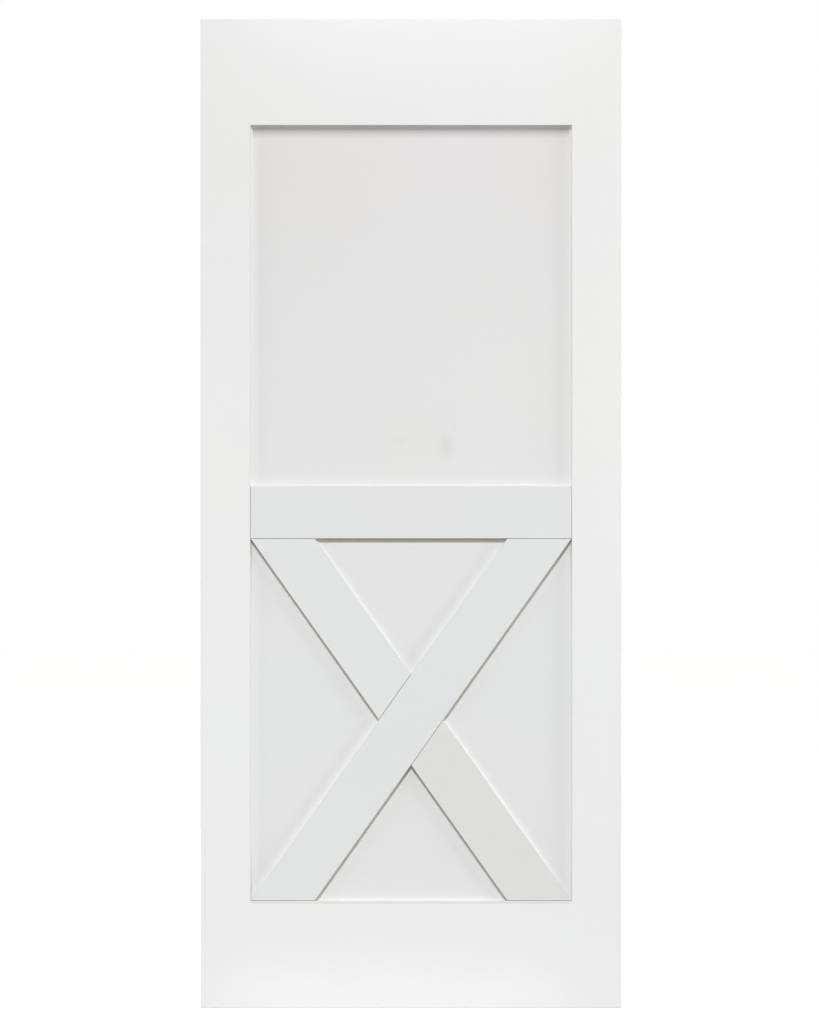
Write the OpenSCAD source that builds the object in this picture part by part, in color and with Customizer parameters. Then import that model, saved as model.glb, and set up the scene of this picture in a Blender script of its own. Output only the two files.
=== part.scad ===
// Sliding barn door: one flat panel in a stile-and-rail frame, with a half X of boards in its front recess.
// Millimetres. +Z is up, the front faces -Y, and the origin is under the middle of the bottom edge.

/* [Door] */
// Width of the whole door
door_w = 908; // [800:1:1100]
// Height of the whole door
door_h = 2134; // [2000:1:2400]
// Thickness of the stiles and rails
door_t = 35; // [32:0.5:45]

/* [Frame] */
// Width of each stile
stile_w = 107.5; // [90:0.5:140]
// Height of the top rail
top_rail_h = 230; // [180:1:280]
// Height of the bottom rail
bottom_rail_h = 231; // [180:1:280]
// Width of the eased edges of the frame
frame_ease = 1.2; // [1:0.1:4]
// Flats that round off an eased edge
ease_flats = 3; // [2:1:5]

/* [Panel] */
// Thickness of the panel
panel_t = 13; // [10:0.5:16]
// Depth of the panel groove in the stiles and rails
groove_d = 12; // [8:0.5:16]
// Room left for the panel to move at the bottom of the groove
groove_room = 1.5; // [0.5:0.5:3]
// Clearance on each face of the panel and the tongues in the groove
groove_fit = 0.1; // [0.05:0.05:0.3]

/* [Boards] */
// Width of the mid rail and of the braces
board_w = 113; // [80:0.5:140]
// Height of the mid rail's centre above the bottom edge
mid_rail_z = 1069; // [950:1:1200]
// Open joint round the ends of every board
board_gap = 0.6; // [0.4:0.1:2]
// Width of the eased edges on the face of the boards
board_ease = 0.6; // [0.3:0.1:1.5]

/* [Dowels] */
// Diameter of the dowels between stiles and rails
dowel_d = 10; // [8:0.5:10]
// Length of a dowel, half in the stile and half in the rail
dowel_l = 110; // [80:1:140]
// Dowels in each corner of the frame
dowel_count = 3; // [2:1:4]
// Distance of the outermost dowels from the rail's two edges
dowel_edge = 42; // [34:1:60]
// Chamfer on a dowel's ends
dowel_chamfer = 1.5; // [0.5:0.5:2]
// Radial clearance of a dowel in its bore
dowel_fit = 0.05; // [0.02:0.01:0.2]
// Glue room past each end of a dowel
dowel_room = 2; // [1:0.5:4]

/* [Panel pins] */
// Diameter of the headless pins that hold the boards
pin_d = 1.2; // [0.8:0.1:2]
// Depth of a pin's top under the filled face of its board
pin_set = 1.5; // [1:0.5:3]
// Depth that a pin is driven into the panel
pin_bite = 8; // [5:0.5:8.5]
// Length of a pin's point
pin_point = 2; // [1:0.5:3]
// Radial clearance of a pin in its hole
pin_fit = 0.05; // [0.02:0.01:0.1]
// Distance of the pin rows from a board's long edges
pin_edge = 25; // [15:1:35]
// Distance of the outermost pins from a board's ends, along its centre line
pin_end = 60; // [50:1:90]
// Pins in each row of the mid rail
mid_rail_pin_count = 5; // [3:1:7]
// Pins in each row of the long brace
long_brace_pin_count = 6; // [3:1:8]
// Pins in each row of a short brace
short_brace_pin_count = 3; // [2:1:4]

/* [Floor guide] */
// Width of the groove that runs over the floor guide
guide_w = 8; // [6:0.5:12]
// Depth of that groove
guide_d = 16; // [10:0.5:20]

/* [Hidden] */
$fn = 64;
over = 1;    // overrun of a cutting shape past the face that it opens

opening_w = door_w - 2 * stile_w;
opening_low = bottom_rail_h;
opening_high = door_h - top_rail_h;
opening_h = opening_high - opening_low;
groove_w = panel_t + 2 * groove_fit;
tongue_l = groove_d - groove_fit;
panel_tuck = groove_d - groove_room;

front_y = -door_t / 2;
panel_front_y = -panel_t / 2;
board_t = panel_front_y - front_y;

bore_r = dowel_d / 2 + dowel_fit;
bore_l = dowel_l / 2 + dowel_room;
pin_hole_r = pin_d / 2 + pin_fit;
pin_l = board_t - pin_set + pin_bite;

// The bay below the mid rail that the braces fill, less the open joint on all four sides
bay_w = opening_w - 2 * board_gap;
bay_low = opening_low + board_gap;
bay_high = mid_rail_z - board_w / 2 - board_gap;
bay_h = bay_high - bay_low;
bay_z = (bay_high + bay_low) / 2;

// Lean of a brace from upright: the angle at which a board of this width runs from corner to corner
lean = acos(board_w / norm([bay_w, bay_h])) - atan2(bay_h, bay_w);
brace_cut = board_w / cos(lean);        // length of a brace's level end
brace_reach = bay_h / cos(lean) / 2;    // from the crossing to a level end, along the centre line
crossing_reach = (board_w / 2 + board_gap) / sin(2 * lean);    // from the crossing to a short brace's cut
pin_row = board_w / 2 - pin_edge;

frame_white = [0.93, 0.93, 0.92];
panel_white = [0.89, 0.89, 0.88];
board_white = [0.88, 0.90, 0.89];
beech = [0.80, 0.64, 0.45];
steel = [0.60, 0.60, 0.62];

// Evenly spaced places from one value to another
function spread(from, to, count) = [for (i = [0 : count - 1]) from + (to - from) * i / (count - 1)];

// Unit vector square to the edge between two points, to its left
function left_of(from, to) = [from[1] - to[1], to[0] - from[0]] / norm(to - from);

// An anticlockwise outline with every edge moved inwards
function inset(outline, by) = [
    for (i = [0 : len(outline) - 1])
        let (
            before = left_of(outline[(i + len(outline) - 1) % len(outline)], outline[i]),
            after = left_of(outline[i], outline[(i + 1) % len(outline)])
        )
            outline[i] + by * (before + after) / (1 + before * after)
];

// Heights of the dowels in a rail
function top_dowel_z() = spread(opening_high + dowel_edge, door_h - dowel_edge, dowel_count);
function bottom_dowel_z() = spread(dowel_edge, opening_low - dowel_edge, dowel_count);

// Point where an edge of the long brace, offset long_d from its centre line, meets one of the short braces
function crossing(long_d, short_d) = [
    (long_d + short_d) / (2 * cos(lean)),
    (short_d - long_d) / (2 * sin(lean))
];

// Outlines of the boards, anticlockwise as seen from the front.
// The mid rail's is about its own centre, and the braces' are about the centre of the bay.
mid_rail_outline = [
    [-bay_w / 2, -board_w / 2], [bay_w / 2, -board_w / 2],
    [bay_w / 2, board_w / 2], [-bay_w / 2, board_w / 2]
];
long_brace_outline = [
    [-bay_w / 2, -bay_h / 2], [-bay_w / 2 + brace_cut, -bay_h / 2],
    [bay_w / 2, bay_h / 2], [bay_w / 2 - brace_cut, bay_h / 2]
];
long_brace_side = -board_w / 2 - board_gap;
upper_brace_outline = [
    [-bay_w / 2, bay_h / 2], crossing(long_brace_side, -board_w / 2),
    crossing(long_brace_side, board_w / 2), [-bay_w / 2 + brace_cut, bay_h / 2]
];
lower_brace_outline = -upper_brace_outline;

// Places of the pins, about the same centres as the outlines.
// Each board has stations along its length, with a pin in each of two rows.
mid_rail_stations = spread(-bay_w / 2 + pin_end, bay_w / 2 - pin_end, mid_rail_pin_count);
long_brace_stations = spread(-brace_reach + pin_end, brace_reach - pin_end, long_brace_pin_count);
short_brace_stations = spread(crossing_reach + pin_end, brace_reach - pin_end, short_brace_pin_count);
pin_rows = [-pin_row, pin_row];
mid_rail_pin_places = [for (along = mid_rail_stations, side = pin_rows) [along, side]];
long_brace_pin_places = [
    for (along = long_brace_stations, side = pin_rows)
        [along * sin(lean) + side * cos(lean), along * cos(lean) - side * sin(lean)]
];
upper_brace_pin_places = [
    for (along = short_brace_stations, side = pin_rows)
        [-along * sin(lean) + side * cos(lean), along * cos(lean) + side * sin(lean)]
];
lower_brace_pin_places = -upper_brace_pin_places;

// Rounding of an edge at the origin, from over past one face to over past the other
ease_run_out = over * tan(90 / ease_flats / 2);
ease_outline = concat(
    [[-ease_run_out, frame_ease + over]],
    [for (i = [1 : ease_flats - 1])
        frame_ease * [1 - cos(90 * i / ease_flats), 1 - sin(90 * i / ease_flats)]],
    [[frame_ease + over, -ease_run_out]]
);

// Section taken off a square edge at the origin, to ease it
module arris() {
    polygon(concat(ease_outline, [[frame_ease + over, -over], [-over, -over], [-over, frame_ease + over]]));
}

// The four long edges of a box of this section, eased along Z from the origin up
module eased_edges(width, depth, length) {
    for (across = [0, 1], back = [0, 1])
        mirror([across, 0, 0]) mirror([0, back, 0])
            translate([-width / 2, -depth / 2, -over])
                linear_extrude(length + 2 * over) arris();
}

// The whole door as one block with its outer edges eased
module door_blank() {
    difference() {
        translate([-door_w / 2, front_y, 0])
            cube([door_w, door_t, door_h]);
        eased_edges(door_w, door_t, door_h);
        translate([-door_w / 2, 0, door_h / 2]) rotate([0, 90, 0])
            eased_edges(door_h, door_t, door_w);
    }
}

// Mouth of the opening across one of its spans: its rim flares out on the front and the back
module mouth_section(span) {
    for (back = [0, 1]) mirror([0, back])
        polygon(concat(
            [for (p = ease_outline) [span / 2 + p[0], front_y + p[1]]],
            [for (i = [len(ease_outline) - 1 : -1 : 0])
                [-span / 2 - ease_outline[i][0], front_y + ease_outline[i][1]]]
        ));
}

// Eased rim round the opening, mitred in its corners
module opening_mouth() {
    reach = frame_ease + over;
    intersection() {
        translate([0, 0, opening_low - reach])
            linear_extrude(opening_h + 2 * reach) mouth_section(opening_w);
        translate([-opening_w / 2 - reach, 0, (opening_low + opening_high) / 2]) rotate([0, 90, 0])
            linear_extrude(opening_w + 2 * reach) mouth_section(opening_h);
    }
}

// Groove along the bottom edge of the door, over the floor guide
module guide_groove() {
    translate([-door_w / 2 - over, -guide_w / 2, -over])
        cube([door_w + 2 * over, guide_w, guide_d + over]);
}

// Bores for the dowels of one side, through the joint between stile and rail
module dowel_bores(side) {
    for (z = concat(top_dowel_z(), bottom_dowel_z()))
        translate([side * opening_w / 2 - bore_l, 0, z]) rotate([0, 90, 0])
            cylinder(r = bore_r, h = 2 * bore_l);
}

// One stile: side is -1 on the left and 1 on the right
module stile(side) {
    inner_x = side * opening_w / 2;
    difference() {
        intersection() {
            door_blank();
            translate([inner_x - (1 - side) / 2 * stile_w, front_y, 0])
                cube([stile_w, door_t, door_h]);
        }
        opening_mouth();
        translate([inner_x - groove_d, -groove_w / 2, -over])
            cube([2 * groove_d, groove_w, door_h + 2 * over]);
        dowel_bores(side);
        guide_groove();
    }
}

// One rail between two heights: inner_z is the edge that faces the opening, and outer_z the door's own edge
module rail(inner_z, outer_z) {
    inward = sign(inner_z - outer_z);
    tongue_z = inner_z - inward * groove_d;
    difference() {
        union() {
            intersection() {
                door_blank();
                translate([-opening_w / 2, front_y, min(inner_z, outer_z)])
                    cube([opening_w, door_t, abs(inner_z - outer_z)]);
            }
            translate([-opening_w / 2 - tongue_l, -panel_t / 2, min(tongue_z, outer_z)])
                cube([opening_w + 2 * tongue_l, panel_t, abs(tongue_z - outer_z)]);
        }
        opening_mouth();
        translate([-opening_w / 2 - over, -groove_w / 2, inner_z - groove_d])
            cube([opening_w + 2 * over, groove_w, 2 * groove_d]);
        for (side = [-1, 1])
            dowel_bores(side);
        guide_groove();
    }
}

module left_stile() {
    color(frame_white) stile(-1);
}

module right_stile() {
    color(frame_white) stile(1);
}

module top_rail() {
    color(frame_white) rail(opening_high, door_h);
}

module bottom_rail() {
    color(frame_white) rail(opening_low, 0);
}

// Flat panel, held loosely in the frame's groove, with the pin holes of the boards in its front
module panel() {
    color(panel_white)
        difference() {
            translate([-opening_w / 2 - panel_tuck, panel_front_y, opening_low - panel_tuck])
                cube([opening_w + 2 * panel_tuck, panel_t, opening_h + 2 * panel_tuck]);
            pin_holes(mid_rail_pin_places, mid_rail_z);
            pin_holes(long_brace_pin_places, bay_z);
            pin_holes(upper_brace_pin_places, bay_z);
            pin_holes(lower_brace_pin_places, bay_z);
        }
}

// Plate of an outline, with the edges of its upper face chamfered
module eased_plate(outline, height, ease) {
    count = len(outline);
    points = concat(
        [for (p = outline) [p[0], p[1], 0]],
        [for (p = outline) [p[0], p[1], height - ease]],
        [for (p = inset(outline, ease)) [p[0], p[1], height]]
    );
    under_face = [for (i = [0 : count - 1]) i];
    upper_face = [for (i = [count - 1 : -1 : 0]) 2 * count + i];
    sides = [
        for (ring = [0, count], i = [0 : count - 1])
            let (next = (i + 1) % count)
                [ring + i, ring + count + i, ring + count + next, ring + next]
    ];
    polyhedron(points, concat([under_face, upper_face], sides));
}

// A board cut to an outline, flat on the panel and flush with the frame, with its face edges eased
module board(outline, centre_z) {
    translate([0, panel_front_y, centre_z]) rotate([90, 0, 0])
        eased_plate(outline, board_t, board_ease);
}

// Blind holes for pins, from under the filled face of the boards into the panel
module pin_holes(places, centre_z) {
    for (place = places)
        translate([place[0], front_y + pin_set, centre_z + place[1]]) rotate([-90, 0, 0])
            cylinder(r = pin_hole_r, h = pin_l);
}

// Headless pins with conical points
module pins(places, centre_z) {
    for (place = places)
        translate([place[0], front_y + pin_set, centre_z + place[1]]) rotate([-90, 0, 0])
            rotate_extrude()
                polygon([[0, 0], [pin_d / 2, 0], [pin_d / 2, pin_l - pin_point], [0, pin_l]]);
}

module mid_rail() {
    color(board_white)
        difference() {
            board(mid_rail_outline, mid_rail_z);
            pin_holes(mid_rail_pin_places, mid_rail_z);
        }
}

module long_brace() {
    color(board_white)
        difference() {
            board(long_brace_outline, bay_z);
            pin_holes(long_brace_pin_places, bay_z);
        }
}

module upper_short_brace() {
    color(board_white)
        difference() {
            board(upper_brace_outline, bay_z);
            pin_holes(upper_brace_pin_places, bay_z);
        }
}

module lower_short_brace() {
    color(board_white)
        difference() {
            board(lower_brace_outline, bay_z);
            pin_holes(lower_brace_pin_places, bay_z);
        }
}

// Half section of a dowel, from one chamfered end to the other
dowel_section = [
    [0, 0],
    [dowel_d / 2 - dowel_chamfer, 0],
    [dowel_d / 2, dowel_chamfer],
    [dowel_d / 2, dowel_l - dowel_chamfer],
    [dowel_d / 2 - dowel_chamfer, dowel_l],
    [0, dowel_l]
];

// Dowels of one corner, across the joint between stile and rail
module dowels(side, heights) {
    color(beech)
        for (z = heights)
            translate([side * opening_w / 2 - dowel_l / 2, 0, z]) rotate([0, 90, 0])
                rotate_extrude() polygon(dowel_section);
}

module top_left_dowels() {
    dowels(-1, top_dowel_z());
}

module top_right_dowels() {
    dowels(1, top_dowel_z());
}

module bottom_left_dowels() {
    dowels(-1, bottom_dowel_z());
}

module bottom_right_dowels() {
    dowels(1, bottom_dowel_z());
}

module mid_rail_pins() {
    color(steel) pins(mid_rail_pin_places, mid_rail_z);
}

module long_brace_pins() {
    color(steel) pins(long_brace_pin_places, bay_z);
}

module upper_short_brace_pins() {
    color(steel) pins(upper_brace_pin_places, bay_z);
}

module lower_short_brace_pins() {
    color(steel) pins(lower_brace_pin_places, bay_z);
}

left_stile();
right_stile();
top_rail();
bottom_rail();
panel();
mid_rail();
long_brace();
upper_short_brace();
lower_short_brace();
top_left_dowels();
top_right_dowels();
bottom_left_dowels();
bottom_right_dowels();
mid_rail_pins();
long_brace_pins();
upper_short_brace_pins();
lower_short_brace_pins();
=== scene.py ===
"""Looks, light and camera for the sliding barn door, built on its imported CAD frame.

The frame is in metres: +X is right as seen from the front, the front faces -Y, and +Z is up from the floor.
The CAD nodes keep their shapes and take procedural finishes. All of these are laid out in that one frame,
so that the paint runs on across the joints between the pieces. The only pieces modelled here are the beads
of paint in the corners of the recess.
"""

from __future__ import annotations

import logging
import math
from abc import ABC, abstractmethod
from collections.abc import Callable
from dataclasses import dataclass
from enum import Enum
from functools import cached_property
from typing import Any, Union

import bmesh
import bpy
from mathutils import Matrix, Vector

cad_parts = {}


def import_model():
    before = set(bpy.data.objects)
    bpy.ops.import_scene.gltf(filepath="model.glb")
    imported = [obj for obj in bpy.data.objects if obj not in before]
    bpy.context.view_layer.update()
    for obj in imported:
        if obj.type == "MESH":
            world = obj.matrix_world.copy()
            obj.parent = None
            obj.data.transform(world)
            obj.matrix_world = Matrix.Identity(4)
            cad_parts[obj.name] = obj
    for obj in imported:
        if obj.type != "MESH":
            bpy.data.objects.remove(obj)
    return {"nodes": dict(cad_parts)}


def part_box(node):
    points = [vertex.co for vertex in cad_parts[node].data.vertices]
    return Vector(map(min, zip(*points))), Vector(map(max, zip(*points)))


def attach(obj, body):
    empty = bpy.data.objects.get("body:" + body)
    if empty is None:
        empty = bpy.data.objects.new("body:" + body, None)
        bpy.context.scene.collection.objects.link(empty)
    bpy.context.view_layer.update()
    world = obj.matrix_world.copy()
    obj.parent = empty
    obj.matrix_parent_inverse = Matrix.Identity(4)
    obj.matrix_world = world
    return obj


LOG = logging.getLogger("barn_door")
MM = 0.001

# Curve between the values of a screen, 0 to 255, and light
SCREEN_WHITE = 255
CURVE_KNEE = 0.04045
CURVE_SLOPE = 12.92
CURVE_OFFSET = 0.055
CURVE_POWER = 2.4

# A noise texture's middle, and the limits that most of its values lie between
NOISE_MIDDLE = 0.5
NOISE_LOW = 0.3
NOISE_HIGH = 0.7

# Sockets of a mix node that mixes colours
MIX_SHARE = 0
MIX_FIRST = 6
MIX_SECOND = 7
MIX_RESULT = 2

Colour = tuple[float, float, float]
Place = tuple[float, float, float]
Point = tuple[float, float]
Span = tuple[float, float]
Pieces = dict[str, str]
Socket = bpy.types.NodeSocket
Value = Union[Socket, float, Colour]

BLACK: Colour = (0.0, 0.0, 0.0)
WHITE: Colour = (1.0, 1.0, 1.0)


def display(red: float, green: float, blue: float) -> Colour:
    """Turns a colour as a screen shows it, 0 to 255, into scene-linear values.

    Args:
        red: Red on the screen.
        green: Green on the screen.
        blue: Blue on the screen.

    Returns:
        The three scene-linear values.
    """

    def linear(value: float) -> float:
        """Turns one value of the screen into light."""
        part = value / SCREEN_WHITE
        if part <= CURVE_KNEE:
            return part / CURVE_SLOPE
        return ((part + CURVE_OFFSET) / (1 + CURVE_OFFSET)) ** CURVE_POWER

    return linear(red), linear(green), linear(blue)


class Strokes(Enum):
    """The way that paint was laid off on a piece.

    Each value is the strokes' lean from upright in degrees, clockwise as seen from the front.
    """

    UPRIGHT = 0.0
    LEVEL = 90.0
    RISING = 35.3
    FALLING = -35.3


class Graph:
    """The node tree of a material or of the world, with short ways to add nodes and join them."""

    def __init__(self, owner: bpy.types.Material | bpy.types.World) -> None:
        """Empties the owner's node tree.

        Args:
            owner: The material or the world.
        """
        owner.use_nodes = True
        self.owner = owner
        self.tree = owner.node_tree
        self.tree.nodes.clear()

    @cached_property
    def place(self) -> Socket:
        """The place of a point in the door's frame."""
        return self.add("ShaderNodeTexCoord").outputs["Object"]

    @cached_property
    def normal(self) -> Socket:
        """The way that the surface faces in the door's frame."""
        return self.add("ShaderNodeTexCoord").outputs["Normal"]

    def add(self, kind: str, inputs: dict[Any, Value] | None = None, **settings: Any) -> bpy.types.Node:
        """Adds a node.

        Args:
            kind: The node's type name.
            inputs: Values or sockets by the name or number of the input that they go to.
            **settings: The node's own properties.

        Returns:
            The new node.
        """
        node = self.tree.nodes.new(kind)
        for key, setting in settings.items():
            setattr(node, key, setting)
        for key, value in (inputs or {}).items():
            self.put(node.inputs[key], value)
        return node

    def put(self, socket: Socket, value: Value) -> None:
        """Joins a socket to an input, or sets the input to a value.

        Args:
            socket: The input.
            value: An output socket, a number, or a colour or vector.
        """
        if isinstance(value, bpy.types.NodeSocket):
            self.tree.links.new(value, socket)
        elif isinstance(value, tuple) and socket.type == "RGBA":
            socket.default_value = (*value, 1.0)
        else:
            socket.default_value = value

    def maths(self, operation: str, *values: Value, clamp: bool = False) -> Socket:
        """Adds a maths node and returns its result."""
        inputs = dict(enumerate(values))
        return self.add("ShaderNodeMath", inputs, operation=operation, use_clamp=clamp).outputs[0]

    def vector(self, operation: str, *values: Value) -> Socket:
        """Adds a vector maths node and returns its vector."""
        inputs = dict(enumerate(values))
        return self.add("ShaderNodeVectorMath", inputs, operation=operation).outputs["Vector"]

    def length(self, vector: Socket) -> Socket:
        """Returns a vector's length."""
        return self.add("ShaderNodeVectorMath", {0: vector}, operation="LENGTH").outputs["Value"]

    def split(self, vector: Socket) -> tuple[Socket, Socket, Socket]:
        """Returns a vector's X, Y and Z."""
        parts = self.add("ShaderNodeSeparateXYZ", {0: vector}).outputs
        return parts[0], parts[1], parts[2]

    def noise_node(self, scale: float, vector: Socket, detail: float, roughness: float) -> bpy.types.Node:
        """Adds a noise texture of a scale in waves per metre and returns its node."""
        inputs = {"Vector": vector, "Scale": scale, "Detail": detail, "Roughness": roughness}
        return self.add("ShaderNodeTexNoise", inputs)

    def noise(
        self, scale: float, vector: Socket | None = None, detail: float = 2.0, roughness: float = 0.5
    ) -> Socket:
        """Adds a noise texture.

        Args:
            scale: Its scale, in waves per metre.
            vector: The place that it reads: the point's place in the door's frame if none is given.
            detail: How many finer waves lie on it.
            roughness: How strong the finer waves are.

        Returns:
            Its value, about 0.5 on average.
        """
        place = self.place if vector is None else vector
        return self.noise_node(scale, place, detail, roughness).outputs["Fac"]

    def ramp(
        self, value: Value, low: float, high: float, to_low: float = 0.0, to_high: float = 1.0
    ) -> Socket:
        """Maps a range smoothly onto another, held at both ends.

        Args:
            value: The value to map.
            low: The start of its range.
            high: The end of its range.
            to_low: The result at the start.
            to_high: The result at the end.

        Returns:
            The result.
        """
        inputs = {0: value, 1: low, 2: high, 3: to_low, 4: to_high}
        node = self.add("ShaderNodeMapRange", inputs, interpolation_type="SMOOTHSTEP", clamp=True)
        return node.outputs[0]

    def mix(self, share: Value, first: Value, second: Value, blend: str = "MIX") -> Socket:
        """Mixes two colours.

        Args:
            share: The second colour's share.
            first: The first colour.
            second: The second colour.
            blend: The way of mixing, as Blender names it.

        Returns:
            The mixed colour.
        """
        inputs = {MIX_SHARE: share, MIX_FIRST: first, MIX_SECOND: second}
        node = self.add("ShaderNodeMix", inputs, data_type="RGBA", blend_type=blend, clamp_factor=True)
        return node.outputs[MIX_RESULT]

    def times(self, colour: Value, factor: Value) -> Socket:
        """Multiplies a colour by another one and returns the result."""
        return self.mix(1.0, colour, factor, "MULTIPLY")

    def colour(self, red: Socket, green: Socket, blue: Socket) -> Socket:
        """Returns the colour of three values."""
        return self.add("ShaderNodeCombineColor", {0: red, 1: green, 2: blue}).outputs[0]

    def grey(self, level: Socket) -> Socket:
        """Returns the grey of a level."""
        return self.colour(level, level, level)

    def bump(self, height: Socket, depth: float, strength: float, under: Socket | None = None) -> Socket:
        """Adds a bump.

        Args:
            height: The height, 0 to 1.
            depth: What a height of 1 stands for, in metres.
            strength: The share of the bump that shows.
            under: The normal of a coarser bump that this one lies on.

        Returns:
            The bumped normal.
        """
        inputs = {"Height": height, "Distance": depth, "Strength": strength}
        if under is not None:
            inputs["Normal"] = under
        return self.add("ShaderNodeBump", inputs).outputs["Normal"]

    def in_view(self) -> Socket:
        """Tells the rays that show a thing from those that carry its light to the door.

        Returns:
            1 for rays from the camera, in reflections and through glass, and 0 for the others.
        """
        path = self.add("ShaderNodeLightPath").outputs
        reflected = self.maths("MAXIMUM", path["Is Glossy Ray"], path["Is Transmission Ray"])
        return self.maths("MAXIMUM", path["Is Camera Ray"], reflected)

    def close(self, shader: Socket, output: str = "ShaderNodeOutputMaterial") -> None:
        """Joins a shader to a new output node."""
        self.add(output, {"Surface": shader})

    def principled(self, **inputs: Value) -> bpy.types.Material:
        """Closes the tree of a material with a principled shader.

        Args:
            **inputs: The shader's inputs, with underscores for the spaces in their names.

        Returns:
            The material.
        """
        named = {key.replace("_", " "): value for key, value in inputs.items()}
        self.close(self.add("ShaderNodeBsdfPrincipled", named).outputs[0])
        return self.owner


@dataclass(frozen=True)
class Paint:
    """Sprayed and rolled paint on fibreboard.

    Depths are in metres and scales in waves per metre. A face's turn is the part of its normal that points
    to the front or the back, and its tilt is the part that points up.

    Attributes:
        name: The material's name.
        colour: The colour on the faces.
        arris_colour: The colour on the eased edges, where the paint is thin.
        roughness: The roughness on average.
        strokes: The way that the paint was laid off.
        reflectance: The shader's specular level.
        gloss_scale: The scale of patches of more and less gloss.
        gloss_swing: How far the roughness strays in them.
        mottle: How far the level strays, as a share.
        cloud_scale: The scale of the mottling's clouds.
        fleck_scale: The scale of its flecks.
        fleck_weight: The flecks' part in it, where the clouds' is 1.
        stroke_weight: The strokes' part in it.
        warmth: How far red and blue stray, as a share.
        warmth_scale: The scale of warm and cool patches.
        warmth_shift: The shift of these patches.
        stroke_scale: The scale of the strokes across their run.
        stroke_stretch: Their scale along their run, as a share of that.
        stroke_depth: Their depth.
        stipple_scale: The scale of the roller's stipple.
        stipple_depth: Its depth.
        relief: The share of the two depths that shows.
        arris_from: The turns between which a side becomes an eased edge.
        arris_to: The turns between which an eased edge becomes a front.
        underside_shade_colour: A darker, warm colour on faces that look down: painted shade.
        underside_shade_share: How much of that painted shade shows.
        underside_shade_tilts: The tilts from which the painted shade shows in full and not at all.
    """

    name: str
    colour: Colour
    arris_colour: Colour
    roughness: float
    strokes: Strokes
    reflectance: float = 0.4
    gloss_scale: float = 9.0
    gloss_swing: float = 0.04
    mottle: float = 0.012
    cloud_scale: float = 2.6
    fleck_scale: float = 46.0
    fleck_weight: float = 0.35
    stroke_weight: float = 0.25
    warmth: float = 0.03
    warmth_scale: float = 1.6
    warmth_shift: Place = (0.4, 0.0, 0.3)
    stroke_scale: float = 260.0
    stroke_stretch: float = 0.02
    stroke_depth: float = 0.02 * MM
    stipple_scale: float = 620.0
    stipple_depth: float = 0.03 * MM
    relief: float = 0.5
    arris_from: Span = (0.1, 0.2)
    arris_to: Span = (0.985, 0.999)
    # Painted shade: faces that look down turn towards a darker, warm colour
    underside_shade_colour: Colour = display(190, 178, 158)
    underside_shade_share: float = 0.85
    underside_shade_tilts: Span = (-0.45, -0.15)

    def laid_off(self, graph: Graph) -> Socket:
        """Draws a fine noise out along the strokes.

        Args:
            graph: The material's tree.

        Returns:
            The noise, 0 to 1.
        """
        turned = graph.add(
            "ShaderNodeVectorRotate",
            {"Vector": graph.place, "Angle": -math.radians(self.strokes.value)},
            rotation_type="Y_AXIS",
        ).outputs[0]
        drawn = graph.vector("MULTIPLY", turned, (1.0, 1.0, self.stroke_stretch))
        return graph.noise(self.stroke_scale, drawn)

    def arris(self, graph: Graph) -> Socket:
        """Tells the eased edges from the fronts and the sides.

        Args:
            graph: The material's tree.

        Returns:
            1 on the eased edges and 0 elsewhere.
        """
        turn = graph.maths("ABSOLUTE", graph.split(graph.normal)[1])
        off_side = graph.ramp(turn, *self.arris_from)
        off_front = graph.ramp(turn, *self.arris_to, 1.0, 0.0)
        return graph.maths("MULTIPLY", off_side, off_front)

    def underside_shade(self, graph: Graph) -> Socket:
        """Returns how much painted shade darkens the faces that look down."""
        tilt = graph.split(graph.normal)[2]
        return graph.ramp(tilt, *self.underside_shade_tilts, self.underside_shade_share, 0.0)

    def tone(self, graph: Graph, strokes: Socket) -> Socket:
        """Mottles the paint's colour, thins it on edges and darkens undersides with painted shade.

        Args:
            graph: The material's tree.
            strokes: The noise along the strokes.

        Returns:
            The colour.
        """
        cloud = graph.noise(self.cloud_scale, detail=3.0)
        fleck = graph.noise(self.fleck_scale, detail=3.0)
        drawn = graph.maths("MULTIPLY_ADD", strokes, self.stroke_weight, cloud)
        uneven = graph.maths("MULTIPLY_ADD", fleck, self.fleck_weight, drawn)
        middle = NOISE_MIDDLE * (1.0 + self.fleck_weight + self.stroke_weight)
        swing = 2.0 * self.mottle
        level = graph.maths("MULTIPLY_ADD", uneven, swing, 1.0 - swing * middle)
        shifted = graph.vector("ADD", graph.place, self.warmth_shift)
        warm = graph.maths("SUBTRACT", graph.noise(self.warmth_scale, shifted, detail=1.0), NOISE_MIDDLE)
        red = graph.maths("MULTIPLY_ADD", warm, self.warmth, level)
        blue = graph.maths("MULTIPLY_ADD", warm, -self.warmth, level)
        flat = graph.mix(self.arris(graph), self.colour, self.arris_colour)
        # Painted shade on the faces that look down
        flat = graph.mix(self.underside_shade(graph), flat, self.underside_shade_colour)
        return graph.times(flat, graph.colour(red, level, blue))

    def marked(self, graph: Graph, colour: Socket) -> Socket:
        """Returns the colour with the marks of this kind of paint: none on plain paint."""
        return colour

    def material(self) -> bpy.types.Material:
        """Builds the material.

        Returns:
            The material.
        """
        graph = Graph(bpy.data.materials.new(self.name))
        strokes = self.laid_off(graph)
        patches = graph.noise(self.gloss_scale, detail=3.0)
        smooth, rough = self.roughness - self.gloss_swing, self.roughness + self.gloss_swing
        stipple = graph.noise(self.stipple_scale)
        brushed = graph.bump(strokes, self.stroke_depth, self.relief)
        return graph.principled(
            Base_Color=self.marked(graph, self.tone(graph, strokes)),
            Roughness=graph.ramp(patches, NOISE_LOW, NOISE_HIGH, smooth, rough),
            Normal=graph.bump(stipple, self.stipple_depth, self.relief, brushed),
            Specular_IOR_Level=self.reflectance,
        )


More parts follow.
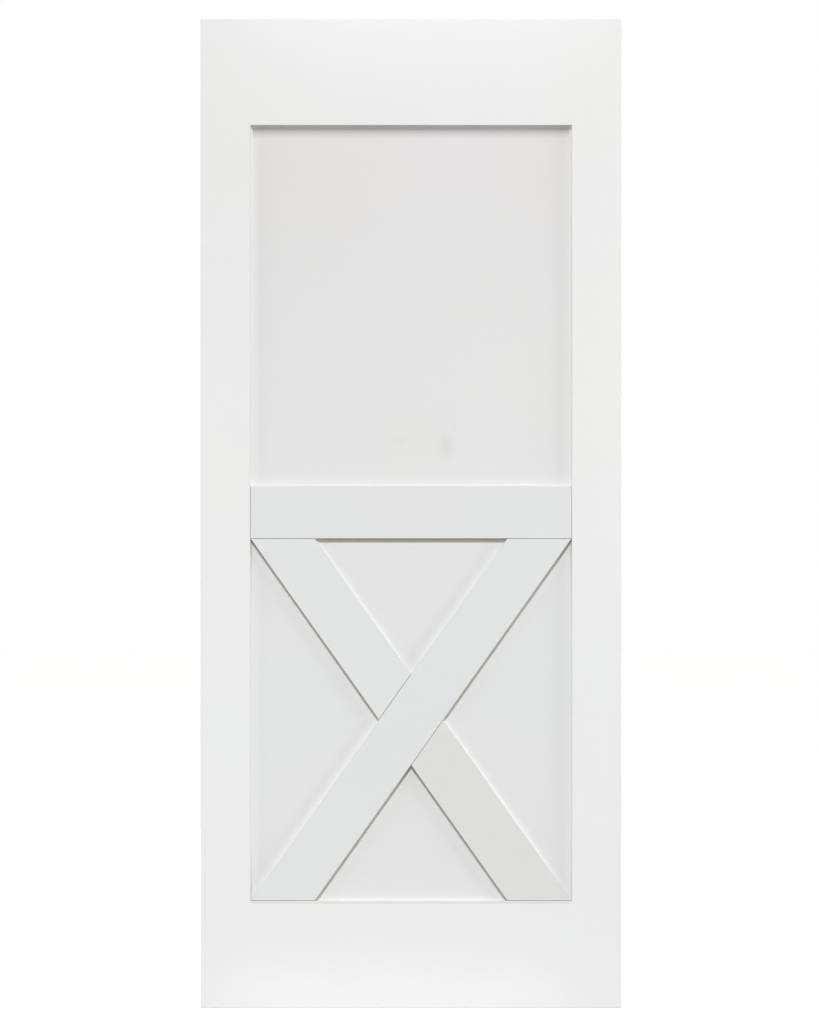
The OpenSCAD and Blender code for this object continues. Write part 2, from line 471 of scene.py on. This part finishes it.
@dataclass(frozen=True)
class Opening:
    """The opening in the frame, as the places of its four edges."""

    left: float
    low: float
    right: float
    high: float

    @classmethod
    def measured(cls) -> Opening:
        """Measures the opening between the stiles and the rails."""
        left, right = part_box("left_stile")[1].x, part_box("right_stile")[0].x
        return cls(left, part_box("bottom_rail")[1].z, right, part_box("top_rail")[0].z)


@dataclass(frozen=True, kw_only=True)
class FramePaint(Paint):
    """The frame's paint, thin along the rim of the opening, which leaves the floor guide's groove bare.

    Attributes:
        opening: The opening in the frame.
        rim: The width of the thin paint along it.
        rim_share: How much of the undercoat shows there.
        rim_feather: Half the width over which the thin paint ends.
        rim_wave: How far its edge wanders.
        rim_wave_scale: The scale of that.
        undercoat: The undercoat's colour.
        groove_half: Half the width of the groove, with some room.
        groove_foot: The height from which it is bare, just above the bottom edge.
        groove_top: The height of its top, with some room.
        bare_colour: The colour of bare fibreboard.
        fibre_scale: The scale of its fibres.
        fibre_range: The noise values of the darkest and lightest fibres.
        fibre_levels: The levels of these fibres.
    """

    opening: Opening
    rim: float
    rim_share: float
    rim_feather: float = 0.6 * MM
    rim_wave: float = 3.0 * MM
    rim_wave_scale: float = 24.0
    undercoat: Colour = display(218, 219, 217)
    # Faint painted shade on the frame's faces that look down
    underside_shade_share: float = 0.15
    groove_half: float = 4.2 * MM
    groove_foot: float = 0.05 * MM
    groove_top: float = 16.3 * MM
    bare_colour: Colour = display(178, 150, 116)
    fibre_scale: float = 900.0
    fibre_range: Span = (0.25, 0.75)
    fibre_levels: Span = (0.82, 1.1)

    def beyond(self, graph: Graph, place: Socket, low: float, high: float) -> Socket:
        """Returns how far a place lies beyond a span, below 0 within it."""
        off_middle = graph.maths("ABSOLUTE", graph.maths("SUBTRACT", place, (low + high) / 2))
        return graph.maths("SUBTRACT", off_middle, (high - low) / 2)

    def thin_rim(self, graph: Graph) -> Socket:
        """Finds the thin paint along the opening.

        Args:
            graph: The material's tree.

        Returns:
            How much of the undercoat shows.
        """
        x, _, z = graph.split(graph.place)
        across = self.beyond(graph, x, self.opening.left, self.opening.right)
        along = self.beyond(graph, z, self.opening.low, self.opening.high)
        waves = graph.noise(self.rim_wave_scale)
        wander = graph.maths("MULTIPLY_ADD", waves, self.rim_wave, -NOISE_MIDDLE * self.rim_wave)
        away = graph.maths("ADD", graph.maths("MAXIMUM", across, along), wander)
        start, end = self.rim - self.rim_feather, self.rim + self.rim_feather
        return graph.ramp(away, start, end, self.rim_share, 0.0)

    def in_groove(self, graph: Graph) -> Socket:
        """Tells the floor guide's groove from the rest.

        Args:
            graph: The material's tree.

        Returns:
            1 in the groove and 0 elsewhere.
        """
        _, y, z = graph.split(graph.place)
        inside = graph.maths("LESS_THAN", graph.maths("ABSOLUTE", y), self.groove_half)
        below = graph.maths("LESS_THAN", z, self.groove_top)
        above = graph.maths("GREATER_THAN", z, self.groove_foot)
        return graph.maths("MULTIPLY", inside, graph.maths("MULTIPLY", below, above))

    def marked(self, graph: Graph, colour: Socket) -> Socket:
        """Thins the paint along the opening and leaves the groove bare.

        Args:
            graph: The material's tree.
            colour: The paint's own colour.

        Returns:
            The colour.
        """
        colour = graph.mix(self.thin_rim(graph), colour, self.undercoat)
        fibres = graph.noise(self.fibre_scale, detail=4.0, roughness=0.7)
        level = graph.ramp(fibres, *self.fibre_range, *self.fibre_levels)
        bare = graph.times(self.bare_colour, graph.grey(level))
        return graph.mix(self.in_groove(graph), colour, bare)


@dataclass(frozen=True)
class Smudge:
    """A hand mark on the panel: its middle, its half sizes and its strength."""

    across: float
    up: float
    half_width: float
    half_height: float
    share: float


@dataclass(frozen=True, kw_only=True)
class PanelPaint(Paint):
    """The panel's paint, with painted warm light towards its top, a painted soft shadow under the top rail,
    and hand marks.

    Attributes:
        top: The height of the top rail's lower edge.
        painted_warm_light_from: The height from which the painted warm light comes in.
        painted_warm_light_tint: What the colour is multiplied by at the top, as painted warm light.
        painted_shadow_share: The painted shadow's strength at the rail, from where it fades out.
        painted_shadow_starts: The distances below the rail between which the painted shadow comes in.
        painted_shadow_reach: The distance below the rail at which it ends.
        smudges: The hand marks.
        smudge_colour: Their colour.
        smudge_fade: The distances from a mark's middle, in half sizes, between which it fades.
        smudge_wave: How far a mark's shape wanders.
        smudge_wave_scale: The scale of that.
    """

    top: float
    # Painted warm light towards the panel's top
    painted_warm_light_from: float = 1330.0 * MM
    painted_warm_light_tint: Colour = (1.0, 0.976, 0.972)
    # Painted soft shadow under the top rail
    painted_shadow_share: float = 0.95
    painted_shadow_starts: Span = (6.5 * MM, 10.0 * MM)
    painted_shadow_reach: float = 32.0 * MM
    smudges: tuple[Smudge, ...] = (
        Smudge(74.0 * MM, 1212.0 * MM, 19.0 * MM, 27.0 * MM, 0.19),
        Smudge(-25.0 * MM, 1224.0 * MM, 20.0 * MM, 12.0 * MM, 0.12),
        Smudge(94.0 * MM, 1255.0 * MM, 5.0 * MM, 5.0 * MM, 0.10),
    )
    smudge_colour: Colour = display(196, 193, 180)
    smudge_fade: Span = (0.2, 1.3)
    smudge_wave: float = 20.0 * MM
    smudge_wave_scale: float = 70.0

    def front(self, graph: Graph) -> Socket:
        """Returns 1 on the panel's front half and 0 behind it."""
        return graph.maths("LESS_THAN", graph.split(graph.place)[1], 0.0)

    def painted_warm_light_at_top(self, graph: Graph, colour: Socket) -> Socket:
        """Warms the colour towards the panel's top as painted warm light, and returns it."""
        share = graph.ramp(graph.split(graph.place)[2], self.painted_warm_light_from, self.top)
        return graph.mix(share, colour, graph.times(colour, self.painted_warm_light_tint))

    def painted_shadow_under_rail(self, graph: Graph, colour: Socket) -> Socket:
        """Lays the painted soft shadow under the top rail.

        Args:
            graph: The material's tree.
            colour: The paint's colour.

        Returns:
            The colour with the painted shadow.
        """
        below = graph.maths("SUBTRACT", self.top, graph.split(graph.place)[2])
        left = graph.maths("SUBTRACT", 1.0, graph.maths("DIVIDE", below, self.painted_shadow_reach), clamp=True)
        fading = graph.maths("MULTIPLY", left, left)
        start = graph.ramp(below, *self.painted_shadow_starts, 0.0, self.painted_shadow_share)
        share = graph.maths("MULTIPLY", graph.maths("MULTIPLY", fading, start), self.front(graph))
        return graph.mix(share, colour, BLACK)

    def smudged(self, graph: Graph, colour: Socket) -> Socket:
        """Lays the hand marks.

        Args:
            graph: The material's tree.
            colour: The paint's colour.

        Returns:
            The colour with the marks.
        """
        waves = graph.noise_node(self.smudge_wave_scale, graph.place, detail=3.0, roughness=0.5)
        middle = (NOISE_MIDDLE, NOISE_MIDDLE, NOISE_MIDDLE)
        wander = graph.vector("SUBTRACT", waves.outputs["Color"], middle)
        moved = graph.vector("MULTIPLY_ADD", wander, (self.smudge_wave, 0.0, self.smudge_wave), graph.place)
        for smudge in self.smudges:
            away = graph.vector("SUBTRACT", moved, (smudge.across, 0.0, smudge.up))
            scaled = graph.vector("MULTIPLY", away, (1 / smudge.half_width, 0.0, 1 / smudge.half_height))
            strength = graph.ramp(graph.length(scaled), *self.smudge_fade, smudge.share, 0.0)
            share = graph.maths("MULTIPLY", strength, self.front(graph))
            colour = graph.mix(share, colour, self.smudge_colour)
        return colour

    def marked(self, graph: Graph, colour: Socket) -> Socket:
        """Returns the colour with painted warm light towards the top, the painted shadow and the hand
        marks.
        """
        return self.smudged(graph, self.painted_shadow_under_rail(graph, self.painted_warm_light_at_top(graph, colour)))


@dataclass(frozen=True)
class Beech:
    """Bare beech, with its grain along a dowel.

    Attributes:
        name: The material's name.
        light: The colour of the wood.
        dark: The colour of its grain.
        roughness: Its roughness.
        stretch: The grain's scale along X, Y and Z, as shares.
        grain_scale: The grain's scale, in waves per metre.
        grain_range: The noise values between which the wood turns into grain.
        grain_depth: The grain's depth.
        relief: The share of that depth that shows.
    """

    name: str = "bare_beech"
    light: Colour = display(214, 178, 134)
    dark: Colour = display(184, 142, 98)
    roughness: float = 0.6
    stretch: Place = (0.06, 1.0, 1.0)
    grain_scale: float = 900.0
    grain_range: Span = (0.35, 0.7)
    grain_depth: float = 0.05 * MM
    relief: float = 0.4

    def material(self) -> bpy.types.Material:
        """Builds the material.

        Returns:
            The material.
        """
        graph = Graph(bpy.data.materials.new(self.name))
        drawn = graph.vector("MULTIPLY", graph.place, self.stretch)
        grain = graph.noise(self.grain_scale, drawn, detail=4.0, roughness=0.6)
        return graph.principled(
            Base_Color=graph.mix(graph.ramp(grain, *self.grain_range), self.light, self.dark),
            Roughness=self.roughness,
            Normal=graph.bump(grain, self.grain_depth, self.relief),
        )


@dataclass(frozen=True)
class Wire:
    """Drawn steel wire, tarnished in patches.

    Attributes:
        name: The material's name.
        colour: The colour of the steel.
        tarnish: The colour of the tarnish.
        roughness: Its roughness.
        patch_scale: The scale of the patches, in waves per metre.
        patch_range: The noise values between which steel turns into tarnish.
        stretch: The scratches' scale along X, Y and Z, as shares.
        scratch_scale: Their scale, in waves per metre.
        scratch_depth: Their depth.
        relief: The share of that depth that shows.
    """

    name: str = "drawn_wire"
    colour: Colour = display(182, 182, 186)
    tarnish: Colour = display(140, 138, 136)
    roughness: float = 0.35
    patch_scale: float = 500.0
    patch_range: Span = (0.4, 0.7)
    stretch: Place = (1.0, 0.05, 1.0)
    scratch_scale: float = 4000.0
    scratch_depth: float = 0.01 * MM
    relief: float = 0.5

    def material(self) -> bpy.types.Material:
        """Builds the material.

        Returns:
            The material.
        """
        graph = Graph(bpy.data.materials.new(self.name))
        patch = graph.ramp(graph.noise(self.patch_scale, detail=3.0), *self.patch_range)
        scratch = graph.noise(self.scratch_scale, graph.vector("MULTIPLY", graph.place, self.stretch))
        return graph.principled(
            Base_Color=graph.mix(patch, self.colour, self.tarnish),
            Metallic=1.0,
            Roughness=self.roughness,
            Normal=graph.bump(scratch, self.scratch_depth, self.relief),
        )


@dataclass
class SubAssembly(ABC):
    """Pieces of the door that are made and finished together.

    Attributes:
        nodes: The CAD nodes by name.
    """

    nodes: dict[str, bpy.types.Object]

    @abstractmethod
    def build(self) -> Pieces:
        """Makes and finishes the pieces, and returns each one's finish by its name."""

    def dress(self, names: tuple[str, ...], material: bpy.types.Material) -> Pieces:
        """Gives CAD nodes one material.

        Args:
            names: The nodes' names.
            material: Their material.

        Returns:
            Each node's finish by its name.
        """
        for name in names:
            materials = self.nodes[name].data.materials
            materials.clear()
            materials.append(material)
        return dict.fromkeys(names, material.name)


@dataclass(frozen=True)
class Member:
    """Pieces of the frame that are painted alike.

    Attributes:
        name: The name of the pieces.
        nodes: Their nodes.
        strokes: The run of their strokes.
        rim: The width of the thin paint along the opening.
        rim_share: How much of the undercoat shows there.
    """

    name: str
    nodes: tuple[str, ...]
    strokes: Strokes
    rim: float
    rim_share: float


@dataclass
class DoorFrame(SubAssembly):
    """The stiles and rails."""

    members: tuple[Member, ...] = (
        Member("stile", ("left_stile", "right_stile"), Strokes.UPRIGHT, 2.4 * MM, 0.2),
        Member("top_rail", ("top_rail",), Strokes.LEVEL, 2.4 * MM, 0.2),
        Member("bottom_rail", ("bottom_rail",), Strokes.LEVEL, 6.2 * MM, 0.75),
    )
    colour: Colour = display(235.4, 235.6, 234.3)
    arris_colour: Colour = display(230, 230, 228)
    roughness: float = 0.42

    def build(self) -> Pieces:
        """Paints the stiles along their height and the rails along their length.

        Returns:
            Each piece's finish by its name.
        """
        pieces: Pieces = {}
        for member in self.members:
            paint = FramePaint(
                f"{member.name}_paint",
                self.colour,
                self.arris_colour,
                self.roughness,
                member.strokes,
                opening=Opening.measured(),
                rim=member.rim,
                rim_share=member.rim_share,
            )
            pieces |= self.dress(member.nodes, paint.material())
        return pieces


@dataclass
class FlatPanel(SubAssembly):
    """The panel in the frame's groove."""

    colour: Colour = display(226.9, 227.1, 226.4)
    roughness: float = 0.5

    def build(self) -> Pieces:
        """Paints the panel.

        Returns:
            Its finish by its name.
        """
        paint = PanelPaint(
            "panel_paint",
            self.colour,
            self.colour,
            self.roughness,
            Strokes.UPRIGHT,
            top=Opening.measured().high,
        )
        return self.dress(("panel",), paint.material())


class Facing(Enum):
    """The side of the panel that a bay is on: the sign of the way that it faces along Y."""

    FRONT = -1.0
    BACK = 1.0


class Side(Enum):
    """The side of a brace's edge that a bay lies on, looking up along the edge from the front."""

    LEFT = 1.0
    RIGHT = -1.0


@dataclass(frozen=True)
class Edge:
    """A brace's long edge, from its lower end to its upper end, as points across and up."""

    low: Point
    high: Point

    @classmethod
    def through(cls, points: list[Point]) -> Edge:
        """Returns the edge from the lowest to the highest of its points."""
        ordered = sorted(points, key=lambda point: point[1])
        return cls(ordered[0], ordered[-1])

    def away(self, side: Side) -> Vector:
        """Returns the direction in the door's plane that points away from a bay on that side."""
        across, up = self.high[0] - self.low[0], self.high[1] - self.low[1]
        return Vector((up, 0.0, -across)).normalized() * side.value


@dataclass(frozen=True)
class Bay:
    """A part of the panel that shows: a rectangle, cut back along the edges of braces.

    Attributes:
        name: The name of the bead of paint round it.
        low: The rectangle's lower left corner, across and up.
        high: Its upper right corner.
        facing: The side of the panel.
        underside_shade_share: How much painted shade darkens the bead where it looks down.
        cuts: The edges, each with the side of it that the bay lies on.
    """

    name: str
    low: Point
    high: Point
    facing: Facing
    underside_shade_share: float
    cuts: tuple[tuple[Edge, Side], ...] = ()


@dataclass
class PaintBeads(SubAssembly):
    """Paint that has gathered in the corners between the panel and what stands round each bay of it.

    Attributes:
        radius: The radius of a bead's hollow face.
        clear: The gap between a bead and what it lies against, and the tolerance of a place.
        steps: The flats of the hollow face.
        edge_band: How far from a brace's outermost point its long edge is looked for.
        long_edge: The length from which an edge of a bead is divided.
        lump_spacing: The spacing of the lumps along the longest edge.
        lump: Their height.
        seed: The seed of their pattern.
        smooth_angle: The angle up to which a bead is shaded smooth, in degrees.
        colour: The paint's colour.
        roughness: Its roughness.
        shade_under_frame: How much painted shade darkens a bead where it looks down below the frame.
        shade_under_boards: How much painted shade darkens it where it looks down below the boards.
    """

    radius: float = 4.5 * MM
    clear: float = 0.02 * MM
    steps: int = 5
    edge_band: float = 5.0 * MM
    long_edge: float = 18.0 * MM
    lump_spacing: float = 22.0 * MM
    lump: float = 0.2 * MM
    seed: int = 4
    smooth_angle: float = 40.0
    colour: Colour = display(221, 221, 219.5)
    roughness: float = 0.5
    # Painted shade on the beads' faces that look down, strong below the boards
    shade_under_frame: float = 0.1
    shade_under_boards: float = 0.85

    def base(self, node: str) -> list[Point]:
        """Returns the points of a board where it lies on the panel, across and up."""
        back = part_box(node)[1].y
        return [(v.co.x, v.co.z) for v in self.nodes[node].data.vertices if back - v.co.y < self.clear]

    def edges(self, node: str, run: Strokes) -> tuple[Edge, Edge]:
        """Finds the two long edges of a brace.

        Args:
            node: The brace's node.
            run: The way that it leans.

        Returns:
            Its edge on the left and its edge on the right.
        """
        points = self.base(node)
        lean = math.radians(run.value)
        across = [x * math.cos(lean) - z * math.sin(lean) for x, z in points]
        first, last = min(across), max(across)
        left = [point for point, place in zip(points, across) if place - first < self.edge_band]
        right = [point for point, place in zip(points, across) if last - place < self.edge_band]
        return Edge.through(left), Edge.through(right)

    def bays(self) -> list[Bay]:
        """Finds the bays of the panel.

        Returns:
            The five bays of its front, and its back.
        """
        opening = Opening.measured()
        low, high = (opening.left, opening.low), (opening.right, opening.high)
        middle_low, middle_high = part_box("mid_rail")
        long_left, long_right = self.edges("long_brace", Strokes.RISING)
        upper_left, upper_right = self.edges("upper_short_brace", Strokes.FALLING)
        lower_left, lower_right = self.edges("lower_short_brace", Strokes.FALLING)
        triangles = {
            "top_bay_bead": ((upper_right, Side.RIGHT), (long_left, Side.LEFT)),
            "left_bay_bead": ((upper_left, Side.LEFT), (long_left, Side.LEFT)),
            "right_bay_bead": ((long_right, Side.RIGHT), (lower_right, Side.RIGHT)),
            "bottom_bay_bead": ((long_right, Side.RIGHT), (lower_left, Side.LEFT)),
        }
        upper_low, lower_high = (opening.left, middle_high.z), (opening.right, middle_low.z)
        return [
            Bay("upper_bay_bead", upper_low, high, Facing.FRONT, self.shade_under_frame),
            *(
                Bay(name, low, lower_high, Facing.FRONT, self.shade_under_boards, cuts)
                for name, cuts in triangles.items()
            ),
            Bay("back_bead", low, high, Facing.BACK, self.shade_under_frame),
        ]

    def blank(self, bay: Bay, level: float) -> bpy.types.Object:
        """Adds a plane that fills a bay.

        Args:
            bay: The bay.
            level: The plane's place from front to back.

        Returns:
            The plane, in edit mode.
        """
        bpy.ops.object.select_all(action="DESELECT")
        middle = ((bay.low[0] + bay.high[0]) / 2, level, (bay.low[1] + bay.high[1]) / 2)
        turn = (-bay.facing.value * math.pi / 2, 0.0, 0.0)
        bpy.ops.mesh.primitive_plane_add(size=1.0, location=middle, rotation=turn)
        piece = bpy.context.object
        piece.name = bay.name
        width, height = (end - start - 2 * self.clear for start, end in zip(bay.low, bay.high))
        piece.scale = (width, height, 1.0)
        bpy.ops.object.transform_apply(location=True, rotation=True, scale=True)
        bpy.ops.object.mode_set(mode="EDIT")
        for edge, side in bay.cuts:
            bpy.ops.mesh.select_all(action="SELECT")
            away = edge.away(side)
            start = Vector((edge.low[0], level, edge.low[1])) - self.clear * away
            bpy.ops.mesh.bisect(plane_co=start, plane_no=away, clear_outer=True)
        return piece

    def pick(self, piece: bpy.types.Object, wanted: Callable[[bmesh.types.BMEdge], bool]) -> None:
        """Selects some edges of a piece in edit mode, and nothing else.

        Args:
            piece: The piece.
            wanted: Says whether an edge is one of them.
        """
        bpy.ops.mesh.select_mode(type="EDGE")
        bpy.ops.mesh.select_all(action="DESELECT")
        mesh = bmesh.from_edit_mesh(piece.data)
        for edge in mesh.edges:
            edge.select_set(wanted(edge))
        bmesh.update_edit_mesh(piece.data)

    def fillet(self, bay: Bay) -> bpy.types.Object:
        """Models the hollow fillet of paint round a bay.

        Args:
            bay: The bay.

        Returns:
            The finished piece.
        """
        panel_low, panel_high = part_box("panel")
        face = panel_low.y if bay.facing is Facing.FRONT else panel_high.y
        rim = face + bay.facing.value * self.radius
        piece = self.blank(bay, rim)
        bpy.ops.mesh.select_mode(type="FACE")
        bpy.ops.mesh.select_all(action="SELECT")
        angles = [math.pi / 2 * step / self.steps for step in range(self.steps + 1)]
        for start, end in zip(angles, angles[1:]):
            run = self.radius * (math.cos(start) - math.cos(end))
            drop = self.radius * (math.sin(end) - math.sin(start))
            bpy.ops.mesh.inset(thickness=run, depth=-drop)
        bpy.ops.mesh.delete(type="ONLY_FACE")
        self.pick(piece, lambda e: e.is_boundary and all(abs(v.co.y - rim) < self.clear for v in e.verts))
        inwards = (0.0, -bay.facing.value * self.radius, 0.0)
        bpy.ops.mesh.extrude_edges_move(TRANSFORM_OT_translate={"value": inwards})
        self.pick(piece, lambda e: e.is_boundary)
        bpy.ops.mesh.bridge_edge_loops()
        self.roughen(piece, min(face, rim), max(face, rim))
        bpy.ops.mesh.select_all(action="SELECT")
        bpy.ops.mesh.normals_make_consistent(inside=False)
        bpy.ops.object.mode_set(mode="OBJECT")
        bpy.ops.object.shade_smooth_by_angle(angle=math.radians(self.smooth_angle))
        return piece

    def roughen(self, piece: bpy.types.Object, first: float, last: float) -> None:
        """Makes the hollow face of a bead a little uneven along its length.

        Args:
            piece: The bead, in edit mode.
            first: The bead's foremost place along Y.
            last: Its rearmost place.
        """
        self.pick(piece, lambda e: e.calc_length() > self.long_edge)
        longest = max(e.calc_length() for e in bmesh.from_edit_mesh(piece.data).edges)
        bpy.ops.mesh.subdivide(number_cuts=round(longest / self.lump_spacing))
        self.pick(piece, lambda e: all(first + self.clear < v.co.y < last - self.clear for v in e.verts))
        bpy.ops.transform.vertex_random(offset=self.lump, uniform=0.0, normal=1.0, seed=self.seed)

    def build(self) -> Pieces:
        """Lays a bead round each bay of the front, and round the panel's back.

        Returns:
            Each bead's finish by its name.
        """
        pieces: Pieces = {}
        for bay in self.bays():
            piece = self.fillet(bay)
            paint = Paint(
                f"{bay.name}_paint",
                self.colour,
                self.colour,
                self.roughness,
                Strokes.UPRIGHT,
                underside_shade_share=bay.underside_shade_share,
            )
            piece.data.materials.append(paint.material())
            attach(piece, "root")
            pieces[piece.name] = paint.name
        return pieces


@dataclass(frozen=True)
class Board:
    """One board: its node, the run of its strokes and its tone."""

    node: str
    strokes: Strokes
    colour: Colour


@dataclass
class Boards(SubAssembly):
    """The mid rail and the half X of braces."""

    boards: tuple[Board, ...] = (
        Board("mid_rail", Strokes.LEVEL, display(225.6, 226.8, 226.0)),
        Board("long_brace", Strokes.RISING, display(224.4, 226.9, 225.7)),
        Board("upper_short_brace", Strokes.FALLING, display(225.0, 227.4, 226.2)),
        # The lower short brace's darker, warmer colour is painted shade, for the weaker light on the door's
        # lower right
        Board("lower_short_brace", Strokes.FALLING, display(221.2, 222.0, 218.8)),
    )
    arris_colour: Colour = display(216, 218, 216)
    roughness: float = 0.5

    def build(self) -> Pieces:
        """Paints each board along its own length.

        Returns:
            Each board's finish by its name.
        """
        pieces: Pieces = {}
        for board in self.boards:
            name = f"{board.node}_paint"
            paint = Paint(name, board.colour, self.arris_colour, self.roughness, board.strokes)
            pieces |= self.dress((board.node,), paint.material())
        return pieces


@dataclass
class Fixings(SubAssembly):
    """The dowels in the frame's joints and the pins under the boards' faces."""

    dowels: Beech = Beech()
    pins: Wire = Wire()

    def ending(self, word: str) -> tuple[str, ...]:
        """Returns the names of the nodes that end with a word."""
        return tuple(sorted(name for name in self.nodes if name.endswith(word)))

    def build(self) -> Pieces:
        """Finishes the dowels and the pins, and returns each group's finish by its name."""
        dowels = self.dress(self.ending("_dowels"), self.dowels.material())
        return dowels | self.dress(self.ending("_pins"), self.pins.material())


class LampKind(Enum):
    """The kinds of lamp in the studio, by Blender's own names."""

    SOFT_BOX = "AREA"
    DISTANT = "SUN"


def hang(kind: LampKind, name: str, place: Vector, way: Vector) -> bpy.types.Object:
    """Hangs a lamp.

    Args:
        kind: The kind of lamp.
        name: Its name.
        place: Where it hangs.
        way: The way that it shines.

    Returns:
        The lamp.
    """
    turn = way.to_track_quat("-Z", "Y").to_euler()
    bpy.ops.object.light_add(type=kind.value, location=place, rotation=turn)
    lamp = bpy.context.object
    lamp.name = name
    return lamp


@dataclass(frozen=True)
class Lamp:
    """A soft box.

    Attributes:
        name: Its name.
        place: Where it hangs.
        aim: The point that it shines at.
        size: Its width and height.
        watts: Its power.
    """

    name: str
    place: Place
    aim: Place
    size: Span
    watts: float

    def light(self) -> None:
        """Hangs the soft box, which the camera doesn't see."""
        place = Vector(self.place)
        lamp = hang(LampKind.SOFT_BOX, self.name, place, Vector(self.aim) - place)
        lamp.data.shape = "RECTANGLE"
        lamp.data.size, lamp.data.size_y = self.size
        lamp.data.energy = self.watts
        lamp.visible_camera = False


@dataclass(frozen=True)
class Key:
    """The main light, far enough off to fall evenly on the whole door.

    Attributes:
        across: Its place to the right for each unit of distance in front of the door.
        up: Its place upwards for each unit of that distance.
        distance: The distance in front of the door at which its object stands.
        spread: Its width as seen from the door, in degrees.
        strength: Its strength.
        colour: Its colour.
    """

    across: float = -0.04
    up: float = 0.85
    distance: float = 4.0
    spread: float = 5.0
    strength: float = 2.262
    colour: Colour = (0.945, 0.959, 0.991)

    def light(self) -> None:
        """Hangs the key."""
        way = Vector((-self.across, 1.0, -self.up))
        lamp = hang(LampKind.DISTANT, "key", -self.distance * way, way)
        lamp.data.angle = math.radians(self.spread)
        lamp.data.energy = self.strength
        lamp.data.color = self.colour


@dataclass(frozen=True)
class Floor:
    """A pale floor, which the camera sees white where it is lit, and which keeps the door's shadow.

    Attributes:
        half: Half its width.
        seen: Its colour as it is seen.
        bounce: Its colour for the light that it throws back at the door.
        lift: The light that is added to it as it is seen.
        grain_scale: The scale of its grain, in waves per metre.
        grain_level: The level of its darkest grain.
    """

    half: float = 30.0
    seen: Colour = WHITE
    bounce: Colour = (0.34, 0.34, 0.34)
    lift: float = 0.32
    grain_scale: float = 40.0
    grain_level: float = 0.985

    def lay(self) -> None:
        """Lays the floor."""
        bpy.ops.mesh.primitive_plane_add(size=2 * self.half, location=(0.0, 0.0, 0.0))
        plane = bpy.context.object
        plane.name = "floor"
        graph = Graph(bpy.data.materials.new("pale_floor"))
        view = graph.in_view()
        grain = graph.noise(self.grain_scale, detail=3.0)
        level = graph.ramp(grain, NOISE_LOW, NOISE_HIGH, self.grain_level)
        shade = graph.times(graph.mix(view, self.bounce, self.seen), graph.grey(level))
        matt = graph.add("ShaderNodeBsdfDiffuse", {"Color": shade}).outputs[0]
        lift = graph.maths("MULTIPLY", view, self.lift)
        glow = graph.add("ShaderNodeEmission", {"Strength": lift}).outputs[0]
        graph.close(graph.add("ShaderNodeAddShader", {0: matt, 1: glow}).outputs[0])
        plane.data.materials.append(graph.owner)


@dataclass(frozen=True)
class Room:
    """Even light from all round, which is seen as white.

    Attributes:
        level: Its level.
        tint: Its colour.
    """

    level: float = 0.233
    tint: Colour = (1.07, 1.03, 0.93)

    def fill(self) -> None:
        """Fills the world with the light."""
        world = bpy.data.worlds.new("room")
        bpy.context.scene.world = world
        graph = Graph(world)
        red, green, blue = (self.level * part for part in self.tint)
        shown = graph.mix(graph.in_view(), (red, green, blue), WHITE)
        background = graph.add("ShaderNodeBackground", {"Color": shown}).outputs[0]
        graph.close(background, "ShaderNodeOutputWorld")


@dataclass(frozen=True)
class Camera:
    """The camera, square on to the door, with a long lens.

    Attributes:
        distance: Its distance from the door's front.
        picture_height: The height of the picture in the plane of that front.
        across: Its place to the right.
        up: Its height.
        sensor: The long side of its sensor, in millimetres.
        sight: How far it sees.
    """

    distance: float = 12.0
    picture_height: float = 2.2089
    across: float = -0.0034
    up: float = 1.0697
    sensor: float = 36.0
    sight: float = 200.0

    def set_up(self) -> None:
        """Sets up the camera."""
        place = (self.across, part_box("left_stile")[0].y - self.distance, self.up)
        bpy.ops.object.camera_add(location=place, rotation=(math.pi / 2, 0.0, 0.0))
        camera = bpy.context.object
        camera.data.sensor_width = self.sensor
        camera.data.lens = self.sensor * self.distance / self.picture_height
        camera.data.clip_end = self.sight
        bpy.context.scene.camera = camera
        bpy.context.scene.view_settings.view_transform = "Standard"


@dataclass(frozen=True)
class Studio:
    """The floor, the light and the camera."""

    floor: Floor = Floor()
    room: Room = Room()
    key: Key = Key()
    lamps: tuple[Lamp, ...] = (
        Lamp("overhead", (0.02, -0.17, 2.27), (0.02, 0.0, 1.6), (0.85, 0.1), 0.22),
        Lamp("foot", (-0.04, -0.12, 0.02), (-0.04, 0.0, 0.06), (0.7, 0.03), 0.035),
        Lamp("right", (8.0, -1.8, 1.2), (0.0, 0.0, 1.07), (2.4, 5.0), 335.0),
        Lamp("left", (-8.0, -1.8, 1.2), (0.0, 0.0, 1.07), (2.4, 5.0), 186.0),
        Lamp("upper_right", (0.7, -1.4, 1.4), (0.7, 0.0, 1.4), (0.8, 0.8), 1.35),
        Lamp("lower_left", (-1.0, -1.0, 0.6), (-1.0, 0.0, 0.6), (0.8, 0.8), 1.06),
        Lamp("back", (2.0, 6.0, 1.4), (0.0, 0.0, 1.0), (3.0, 2.4), 280.0),
    )
    camera: Camera = Camera()

    def build(self) -> None:
        """Builds the studio."""
        self.floor.lay()
        self.room.fill()
        self.key.light()
        for lamp in self.lamps:
            lamp.light()
        self.camera.set_up()


def main() -> None:
    """Builds the door's sub-assemblies and the studio in order."""
    logging.basicConfig(level=logging.INFO, format="%(message)s")
    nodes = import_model()["nodes"]
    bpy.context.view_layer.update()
    bpy.ops.object.select_all(action="DESELECT")
    assemblies: tuple[SubAssembly, ...] = (
        DoorFrame(nodes),
        FlatPanel(nodes),
        PaintBeads(nodes),
        Boards(nodes),
        Fixings(nodes),
    )
    for assembly in assemblies:
        for piece, finish in assembly.build().items():
            LOG.info("%s: %s", piece, finish)
    Studio().build()


if __name__ == "__main__":
    main()
